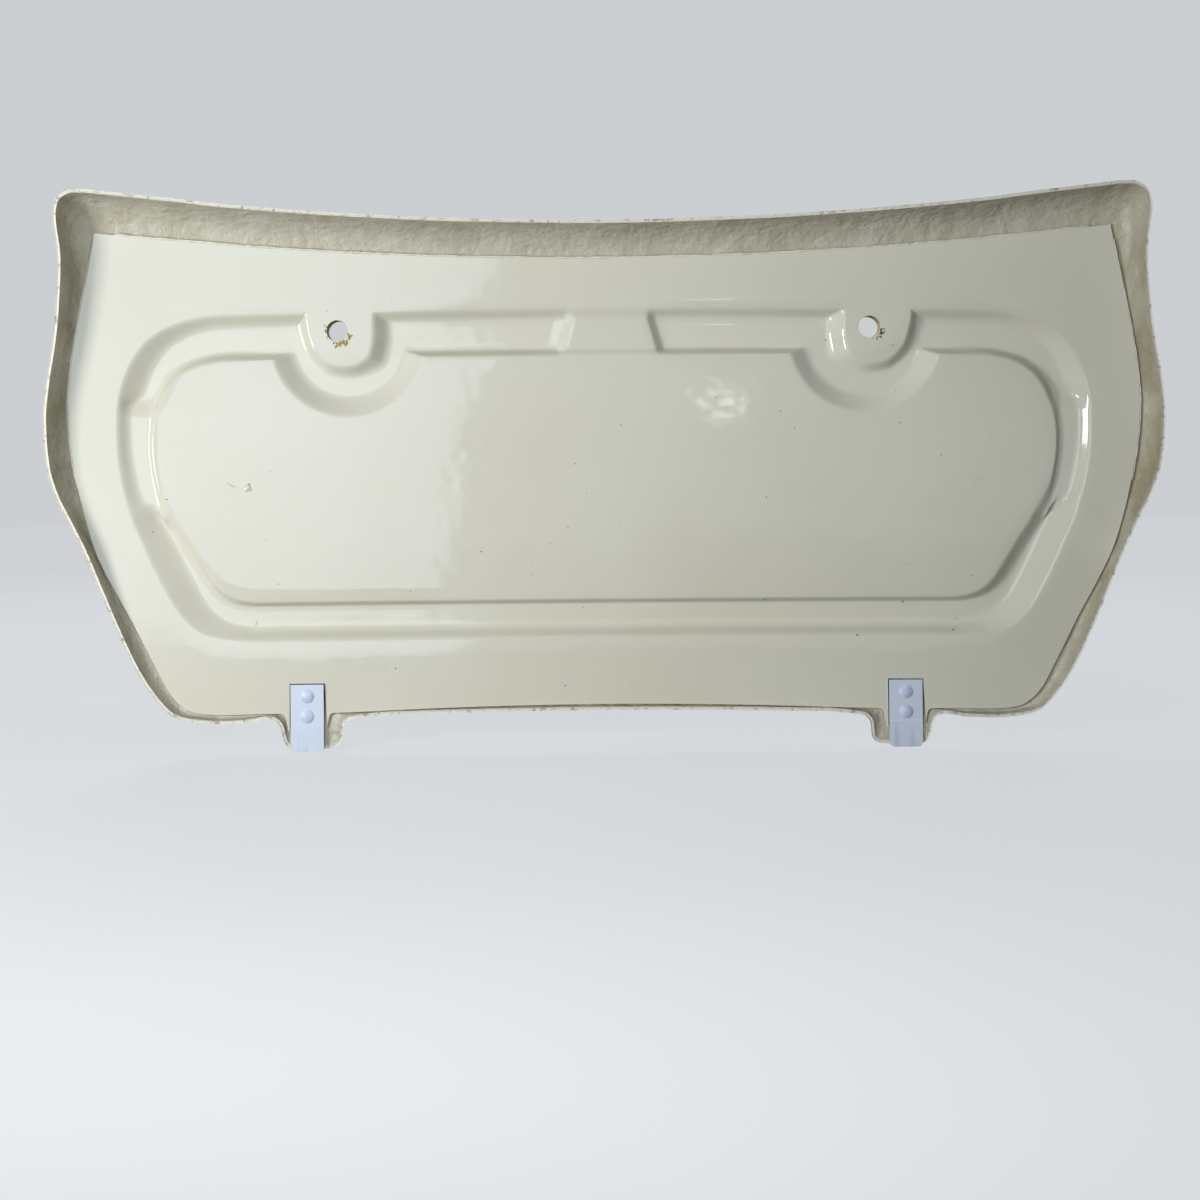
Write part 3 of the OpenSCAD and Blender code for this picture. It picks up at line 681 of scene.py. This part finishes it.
def bead_line(side):
    """Points of the liner's edge that a bead runs along."""
    first, last = (int(i * FINE) for i in BEAD_SPAN[side])
    return np.arange(first, last + 1) % POINTS


def make_bead(side):
    """A thin uneven bead that sits in the corner between the liner's edge and the skin."""
    j = bead_line(side)
    at = raised(shifted(LINER_EDGE, 0.5), 0.5)[j]
    r = BEAD_R[side] * (1 + 0.5 * lumps(at, 9, 21) + 0.35 * lumps(at, 3.5, 33))
    r[[0, -1]] *= 0.3
    out = (shifted(LINER_EDGE, 1) - LINER_EDGE)[j]
    out = np.stack([out[:, 0], np.zeros(len(j)), out[:, 1]], axis=1)
    at += 0.4 * lumps(at, 7, 41)[:, None] * out
    rings = []
    for turn in np.linspace(0, 2 * math.pi, BEAD_SIDES, endpoint=False):
        rings.append(at + r[:, None] * (math.cos(turn) * out + math.sin(turn) * np.array([0, 1, 0])))
    points = np.stack(rings, axis=1).reshape(-1, 3)
    faces = []
    for i in range(len(j) - 1):
        for k in range(BEAD_SIDES):
            a, b = i * BEAD_SIDES + k, i * BEAD_SIDES + (k + 1) % BEAD_SIDES
            faces.append((a, b, b + BEAD_SIDES, a + BEAD_SIDES))
    last = (len(j) - 1) * BEAD_SIDES
    caps = [tuple(range(BEAD_SIDES)), tuple(range(last, last + BEAD_SIDES))]
    mesh = bpy.data.meshes.new("bead_%s_line" % side)
    mesh.from_pydata(place(points).tolist(), [], faces + caps)
    facing_out(mesh)
    mesh.shade_smooth()
    return add_object("bead_%s_line" % side, mesh)


# Small marks of use and making, each a low irregular grain on the surface
def grains(name, spots):
    """Small lumps joined in one mesh; each spot is x, z, size, height and stretch in millimetres."""
    bm = bmesh.new()
    for x, z, size, height, stretch in spots:
        made = bmesh.ops.create_icosphere(bm, subdivisions=2, radius=1)
        turn = random.uniform(0, math.pi)
        base = Vector(place([x, float(face_y(x, z)), z]))
        for v in made["verts"]:
            n = 1 + 0.3 * noise.noise(v.co * 1.7 + Vector((x, z, 0)))
            a, b = v.co.x * size * n * stretch, v.co.z * size * n
            v.co = base + MM * Vector((a * math.cos(turn) - b * math.sin(turn), v.co.y * height,
                                       a * math.sin(turn) + b * math.cos(turn)))
    obj = bm_object(name, bm)
    obj.data.shade_smooth()
    return obj


def around_hole(side, first, last, count, reach, size):
    """Grains round a lock hole between two angles, in degrees from +X."""
    spots = []
    for _ in range(count):
        turn = math.radians(random.uniform(first, last))
        r = LOCK_R + random.uniform(*reach)
        spots.append((side * LOCK_X + r * math.cos(turn), LOCK_H + r * math.sin(turn),
                      random.uniform(*size), random.uniform(0.3, 0.7), random.uniform(1, 2)))
    return spots


BLOB_SPOTS = [(-444, 312, 4.2, 1.3, 1.3), (-440.5, 310, 2.4, 0.9, 1)]
SPECK_COUNT = 46
SPECK_X = (-560, 480)
SPECK_H = (60, 580)
SPECK_SIZE = (0.35, 0.9)
SPECK_RISE = 0.08


def crumb_spots():
    return around_hole(-1, first=-100, last=-15, count=34, reach=(0.8, 7), size=(0.5, 1.6))


def chip_spots():
    right = around_hole(1, first=-80, last=-5, count=22, reach=(0.6, 6), size=(0.4, 1.1))
    return right + around_hole(-1, first=150, last=260, count=14, reach=(0.6, 4), size=(0.3, 0.9))


def speck_spots():
    return [(random.uniform(*SPECK_X), random.uniform(*SPECK_H), random.uniform(*SPECK_SIZE), SPECK_RISE,
             random.uniform(1, 1.6)) for _ in range(SPECK_COUNT)]


# Materials
def rgb(r, g, b):
    """Linear colour from screen values of 0 to 255."""
    return tuple(((v / 255 + 0.055) / 1.055) ** 2.4 for v in (r, g, b)) + (1,)


NOISE_BAND = (0.3, 0.7)


class Shader:
    """A principled material with short helpers for its nodes."""

    def __init__(self, name, **sockets):
        self.material = bpy.data.materials.new(name)
        self.material.use_nodes = True
        self.tree = self.material.node_tree
        self.surface = self.tree.nodes["Principled BSDF"]
        for key, value in sockets.items():
            self.surface.inputs[key.replace("_", " ")].default_value = value
        self.coords = self.node("ShaderNodeTexCoord").outputs["Object"]

    def node(self, kind, inputs=None, **settings):
        made = self.tree.nodes.new(kind)
        for key, value in settings.items():
            setattr(made, key, value)
        for key, value in (inputs or {}).items():
            if isinstance(value, bpy.types.NodeSocket):
                self.tree.links.new(value, made.inputs[key])
            else:
                made.inputs[key].default_value = value
        return made

    def noise(self, scale, detail=3, stretch=(1, 1, 1)):
        mapped = self.node("ShaderNodeMapping", {"Vector": self.coords, "Scale": stretch})
        inputs = {"Vector": mapped.outputs[0], "Scale": scale, "Detail": detail}
        return self.node("ShaderNodeTexNoise", inputs).outputs["Fac"]

    def axis(self, name):
        return self.node("ShaderNodeSeparateXYZ", {"Vector": self.coords}).outputs[name]

    def math(self, operation, *values):
        return self.node("ShaderNodeMath", dict(enumerate(values)), operation=operation).outputs[0]

    def spread(self, value, low, high, to_low=0.0, to_high=1.0):
        made = self.node("ShaderNodeMapRange", {"Value": value, "From Min": low, "From Max": high,
                                                "To Min": to_low, "To Max": to_high})
        return made.outputs["Result"]

    def blend(self, factor, a, b):
        made = self.node("ShaderNodeMix", data_type="RGBA")
        for key, value in (("Factor", factor), ("A", a), ("B", b)):
            socket = [s for s in made.inputs if s.name == key and s.enabled][0]
            if isinstance(value, bpy.types.NodeSocket):
                self.tree.links.new(value, socket)
            else:
                socket.default_value = value
        return [s for s in made.outputs if s.enabled][0]

    def colour(self, value):
        self.tree.links.new(value, self.surface.inputs["Base Color"])

    def roughness(self, value):
        self.tree.links.new(value, self.surface.inputs["Roughness"])

    def uneven_roughness(self, scale, low, high, detail=4):
        self.roughness(self.spread(self.noise(scale, detail), *NOISE_BAND, low, high))

    def bump(self, *layers):
        """Layers of height and distance in metres, each laid over the one before."""
        normal = None
        for height, distance in layers:
            inputs = {"Height": height, "Distance": distance, "Strength": 1.0}
            if normal is not None:
                inputs["Normal"] = normal
            normal = self.node("ShaderNodeBump", inputs).outputs[0]
        self.tree.links.new(normal, self.surface.inputs["Normal"])


def gelcoat(name, light, dark, rough):
    """Glossy moulded gelcoat, with a faint cloud and the slow waves of a mould."""
    m = Shader(name, IOR=1.5)
    cloud = m.spread(m.noise(3.5, 4), 0.35, 0.65)
    m.colour(m.blend(cloud, light, dark))
    m.uneven_roughness(18, rough * 0.85, rough * 1.2)
    m.bump((m.noise(16, 2), 0.0006), (m.noise(420, 2), 0.00001))
    return m.material


# Distances from the middle over which the flange turns darker khaki
DARK_ENDS_FROM = 0.55
DARK_ENDS_TO = 0.67


def flowcoat(name):
    """Brushed flowcoat of the flange, darker khaki in patches towards the lid's ends."""
    m = Shader(name, IOR=1.48)
    cloud = m.spread(m.noise(22, 5), 0.35, 0.7)
    streak = m.spread(m.noise(90, 4, (1, 0.2, 0.2)), 0.4, 0.75)
    base = m.blend(cloud, rgb(192, 189, 174), rgb(170, 166, 149))
    out = m.math("ABSOLUTE", m.math("SUBTRACT", m.axis("X"), HINGE_X * MM))
    patches = m.spread(m.noise(9, 4), 0.3, 0.6)
    # Darker khaki in patches towards the lid's ends
    dark_ends = m.math("MULTIPLY", m.spread(out, DARK_ENDS_FROM, DARK_ENDS_TO), patches)
    sides = m.blend(dark_ends, base, rgb(152, 144, 116))
    m.colour(m.blend(streak, sides, rgb(190, 187, 172)))
    m.uneven_roughness(60, 0.35, 0.6)
    m.bump((m.noise(60, 3), 0.003), (m.noise(150, 2), 0.0016), (m.noise(260, 3, (1, 0.3, 0.3)), 0.00015))
    return m.material


def laminate(name):
    """Cut glass fibre at the rim, pale fibre in darker resin."""
    m = Shader(name, IOR=1.5)
    fibre = m.spread(m.noise(150, 4), 0.3, 0.46)
    m.colour(m.blend(fibre, rgb(166, 161, 144), rgb(224, 222, 212)))
    m.uneven_roughness(120, 0.5, 0.8, detail=3)
    m.bump((m.noise(500, 4), 0.0004))
    return m.material


# Height below which the leaf's painted reflection streaks show
REFLECTION_STREAKS_BELOW = 0.02


def leaf_paint(name):
    """White paint on a leaf, with a painted reflection: darker upright streaks on its low end."""
    m = Shader(name, IOR=1.5)
    streak = m.spread(m.noise(55, 4, (1, 1, 0.06)), 0.5, 0.72)
    # Painted reflection: darker upright streaks on the leaf's low end
    painted_reflection = m.math("MULTIPLY", streak, m.spread(m.axis("Z"), REFLECTION_STREAKS_BELOW, 0.0))
    m.colour(m.blend(painted_reflection, rgb(208, 219, 238), rgb(150, 166, 192)))
    m.uneven_roughness(90, 0.25, 0.42)
    m.bump((m.noise(130, 4), 0.0001))
    return m.material


def rivet_paint(name):
    m = Shader(name, IOR=1.5)
    m.colour(m.blend(m.spread(m.noise(120, 3), 0.35, 0.7), rgb(206, 215, 242), rgb(188, 198, 230)))
    m.uneven_roughness(200, 0.3, 0.45, detail=3)
    m.bump((m.noise(300, 3), 0.00008))
    return m.material


def plain_grain(name, light, dark, scale, rough, stretch=(1, 1, 1)):
    """A matt material of two colours with a noise of its own scale."""
    m = Shader(name, IOR=1.5)
    m.colour(m.blend(m.spread(m.noise(scale, 5, stretch), 0.35, 0.65), light, dark))
    m.uneven_roughness(scale, rough * 0.85, min(1.0, rough * 1.15), detail=3)
    m.bump((m.noise(scale * 2, 4, stretch), 0.0004))
    return m.material


LINER_GEL = gelcoat("liner_gelcoat", rgb(213, 212, 200), rgb(208, 207, 193), 0.065)
SKIN_GEL = gelcoat("skin_gelcoat", rgb(226, 226, 219), rgb(222, 222, 213), 0.14)
FLOWCOAT = flowcoat("skin_flowcoat")
LAMINATE = laminate("cut_laminate")
LEAF = leaf_paint("leaf_paint")
RIVET = rivet_paint("rivet_paint")
PLY = plain_grain("packer_ply", rgb(196, 168, 122), rgb(158, 128, 86), 40, 0.7, (0.3, 4, 1))
FILLER = plain_grain("packer_filler", rgb(206, 186, 110), rgb(150, 140, 92), 220, 0.85)
CRUMB = plain_grain("foam_crumb", rgb(190, 172, 92), rgb(138, 128, 74), 300, 0.9)
GRIT = plain_grain("dark_grit", rgb(96, 88, 70), rgb(58, 54, 44), 400, 0.9)
SEALANT = plain_grain("adhesive", rgb(226, 225, 212), rgb(206, 204, 188), 90, 0.5)


def dress_cad(names, material):
    for name in names:
        node = frame["nodes"][name]
        node.data.materials.clear()
        node.data.materials.append(material)


SIDES = ("left", "right")
SHARP_ANGLE = math.radians(50)


def dress_fittings():
    """Paint the leaves, rivets and packers, which keep their own shapes."""
    dress_cad(["hinge_leaf_" + s for s in SIDES], LEAF)
    dress_cad(["rivet_%s_%s" % (s, e) for s in SIDES for e in ("upper", "lower")], RIVET)
    dress_cad(["hinge_packer_" + s for s in SIDES], PLY)
    dress_cad(["lock_packer_" + s for s in SIDES], FILLER)


def add_shells():
    """The two mouldings, with their lock holes and pockets, in place of the plainer solids."""
    liner = make_liner()
    skin = make_skin()
    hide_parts("inner_liner")
    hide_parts("outer_skin")
    liner.data.materials.append(LINER_GEL)
    for material in (SKIN_GEL, FLOWCOAT, LAMINATE):
        skin.data.materials.append(material)
    cut(liner, lock_cutter())
    cut(liner, pocket_cutter())
    cut(skin, lock_cutter())
    for shell in (liner, skin):
        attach(shell, BODY)
        shell.data.shade_smooth()
        shell.data.set_sharp_from_angle(angle=SHARP_ANGLE)


def add_beads():
    for side in BEAD_SPAN:
        bead = make_bead(side)
        bead.data.materials.append(SEALANT)
        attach(bead, BODY)
        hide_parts("bead_" + side)


def add_marks():
    """Filler crumbs and chips at the lock holes, a dried resin blob and dirt specks."""
    random.seed(7)
    for name, spots, material, slot in (("filler_crumbs", crumb_spots, CRUMB, "packer_filler"),
                                        ("gelcoat_chips", chip_spots, GRIT, "packer_filler"),
                                        ("resin_blob", lambda: BLOB_SPOTS, LINER_GEL, "liner_gelcoat"),
                                        ("dirt_specks", speck_spots, GRIT, "packer_filler")):
        mark = grains(name, spots())
        mark.data.materials.append(material)
        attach(mark, BODY)


# Camera, where the photograph was taken
VIEW_H = 334
VIEW_D = 1983.8
FOCAL = 48
SENSOR_W = 36
ROLL = math.radians(0.5)
CENTRE_PX = (604.5, 467)
IMAGE_PX = 1200


def add_camera():
    data = bpy.data.cameras.new("camera")
    data.lens = FOCAL
    data.sensor_width = SENSOR_W
    data.shift_x = (IMAGE_PX / 2 - CENTRE_PX[0]) / IMAGE_PX
    data.shift_y = (CENTRE_PX[1] - IMAGE_PX / 2) / IMAGE_PX
    camera = add_object("camera", data)
    camera.location = (HINGE_X * MM, -VIEW_D * MM, VIEW_H * MM)
    camera.rotation_euler = (math.pi / 2, ROLL, 0)
    bpy.context.scene.camera = camera


# Soft studio light, and a plain pale floor and background
FLOOR_H = LEAF_LOW[2]
FLOOR_R = 9
FLOOR_SIDES = 96
BACKDROP_GLOW = 0.72
BACKGROUND = (0.6, 0.62, 0.64, 1)
WORLD_COLOUR = (1, 0.96, 0.88, 1)
WORLD_LIGHT = 0.09
WHITE = (1, 1, 1)
WARM = (1, 0.985, 0.95)
COOL = (0.72, 0.87, 1)
PANEL_LEAN = math.radians(-7.4)
LID_MIDDLE = (HINGE_X * MM, 0, 0.33)


def add_area(name, at, target, size, power, colour, lean=0.0, gloss=True):
    """A soft lamp at a place in metres, turned by lean about its own axis."""
    data = bpy.data.lights.new(name, "AREA")
    data.shape = "RECTANGLE"
    data.size, data.size_y = size
    data.energy = power
    data.color = colour
    light = add_object(name, data)
    light.location = at
    aim = (Vector(target) - Vector(at)).to_track_quat("-Z", "Y").to_matrix()
    light.rotation_euler = (aim @ Matrix.Rotation(lean, 3, "Z")).to_euler()
    light.visible_camera = False
    light.visible_glossy = gloss


def add_lamps():
    add_area("key", (-1.15, -1.3, 0.3), (0.2, 0, 0.3), (0.5, 0.5), 20, WARM)
    add_area("side_panel", (-0.3, -2.3, 0.4), (-0.3, 0, 0.4), (0.82, 1.3), 10, COOL, lean=PANEL_LEAN)
    add_area("low_fill", (0.12, -1.25, 0.5), (0.3, 0, 0.1), (0.8, 0.3), 6.2, WARM, gloss=False)
    add_area("back_key", (-0.9, 2.2, 2.3), LID_MIDDLE, (1.6, 1.2), 24, (1, 0.99, 0.97))
    add_area("back_fill", (1.9, 1.9, 2.0), LID_MIDDLE, (1.4, 1.2), 9, (0.95, 0.98, 1))
    add_area("lamp_strip", (0.583, -2.3, 0.462), LID_MIDDLE, (0.045, 0.03), 0.06, WHITE)


def add_world():
    """Dim warm light for the object, and a pale background for what the camera and gloss see."""
    world = bpy.data.worlds.new("world")
    world.use_nodes = True
    tree = world.node_tree
    light = tree.nodes["Background"]
    light.inputs["Color"].default_value = WORLD_COLOUR
    light.inputs["Strength"].default_value = WORLD_LIGHT
    pale = tree.nodes.new("ShaderNodeBackground")
    pale.inputs["Color"].default_value = BACKGROUND
    rays = tree.nodes.new("ShaderNodeLightPath").outputs
    shown = rays["Is Camera Ray"]
    for kind in ("Is Transmission Ray", "Is Glossy Ray"):
        either = tree.nodes.new("ShaderNodeMath")
        either.operation = "MAXIMUM"
        tree.links.new(shown, either.inputs[0])
        tree.links.new(rays[kind], either.inputs[1])
        shown = either.outputs[0]
    mixed = tree.nodes.new("ShaderNodeMixShader")
    tree.links.new(shown, mixed.inputs["Fac"])
    tree.links.new(light.outputs[0], mixed.inputs[1])
    tree.links.new(pale.outputs[0], mixed.inputs[2])
    tree.links.new(mixed.outputs[0], tree.nodes["World Output"].inputs["Surface"])
    bpy.context.scene.world = world


def floor_paint():
    """Plain pale paint, lifted for the camera alone so that it adds no light to the object."""
    m = Shader("studio_floor", IOR=1.4, Emission_Color=rgb(226, 229, 233))
    m.colour(m.blend(m.noise(2, 2), rgb(118, 120, 123), rgb(114, 116, 119)))
    m.uneven_roughness(3, 0.75, 0.85, detail=3)
    ray = m.node("ShaderNodeLightPath").outputs["Is Camera Ray"]
    m.tree.links.new(m.math("MULTIPLY", ray, BACKDROP_GLOW), m.surface.inputs["Emission Strength"])
    return m.material


def add_floor():
    """A pale round floor, wide enough to reach the horizon from every side."""
    turns = np.linspace(0, 2 * math.pi, FLOOR_SIDES, endpoint=False)
    rim = [(HINGE_X * MM + FLOOR_R * math.cos(a), FLOOR_R * math.sin(a), FLOOR_H * MM) for a in turns]
    mesh = bpy.data.meshes.new("studio_floor")
    mesh.from_pydata(rim, [], [tuple(range(len(rim)))])
    mesh.materials.append(floor_paint())
    add_object("studio_floor", mesh)


dress_fittings()
add_shells()
add_marks()
add_beads()
add_camera()
add_world()
add_floor()
add_lamps()
bpy.context.scene.view_settings.view_transform = "Standard"
